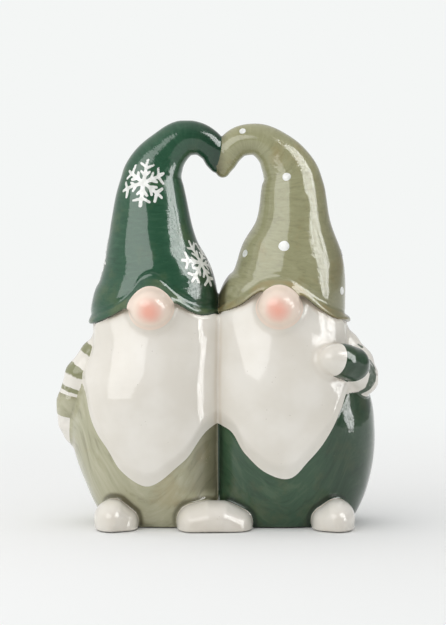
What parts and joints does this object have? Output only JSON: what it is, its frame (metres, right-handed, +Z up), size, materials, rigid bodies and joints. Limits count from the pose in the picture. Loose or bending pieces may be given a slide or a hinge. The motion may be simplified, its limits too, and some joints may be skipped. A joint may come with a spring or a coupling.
{
  "type": "gnome pair figurine",
  "caption": "Glazed ceramic figurine of gnomes hugging side by side, with bent pointed hats whose tips meet over a heart-shaped opening, and a flat base.",
  "frame": {"origin": "centre of the flat base, on the surface it stands on", "axes": "+Z up through the hats, -Y the way the gnomes face, +X to the right of a viewer in front"},
  "size_m": [0.1178, 0.0601, 0.1476],
  "materials": {
    "forest_glaze": "clear gloss glaze over brushed dark green underglaze",
    "sage_glaze": "clear gloss glaze over brushed sage underglaze",
    "cream_glaze": "clear gloss glaze over warm white body",
    "blush_glaze": "clear gloss glaze over airbrushed pink",
    "white_enamel": "fired white enamel, satin",
    "bisque": "unglazed matt"
  },
  "bodies": {
    "root": {"left_hat": "forest_glaze", "right_hat": "sage_glaze", "left_nose": "blush_glaze", "right_nose": "blush_glaze", "left_beard": "cream_glaze", "right_beard": "cream_glaze", "left_shirt": "cream_glaze", "right_shirt": "cream_glaze", "left_trousers": "sage_glaze", "right_trousers": "forest_glaze", "left_outer_sleeve": "cream_glaze", "left_outer_cuff": "sage_glaze", "left_outer_hand": "cream_glaze", "right_outer_sleeve": "cream_glaze", "right_outer_cuff": "forest_glaze", "right_outer_hand": "cream_glaze", "left_inner_sleeve": "cream_glaze", "left_inner_cuff": "sage_glaze", "left_inner_hand": "cream_glaze", "right_inner_sleeve": "cream_glaze", "right_inner_cuff": "forest_glaze", "right_inner_hand": "cream_glaze", "left_outer_foot": "cream_glaze", "left_inner_foot": "cream_glaze", "right_inner_foot": "cream_glaze", "right_outer_foot": "cream_glaze", "snowflake_decals": "white_enamel", "dot_decals": "white_enamel", "base_floor": "bisque"}
  },
  "joints": []
}
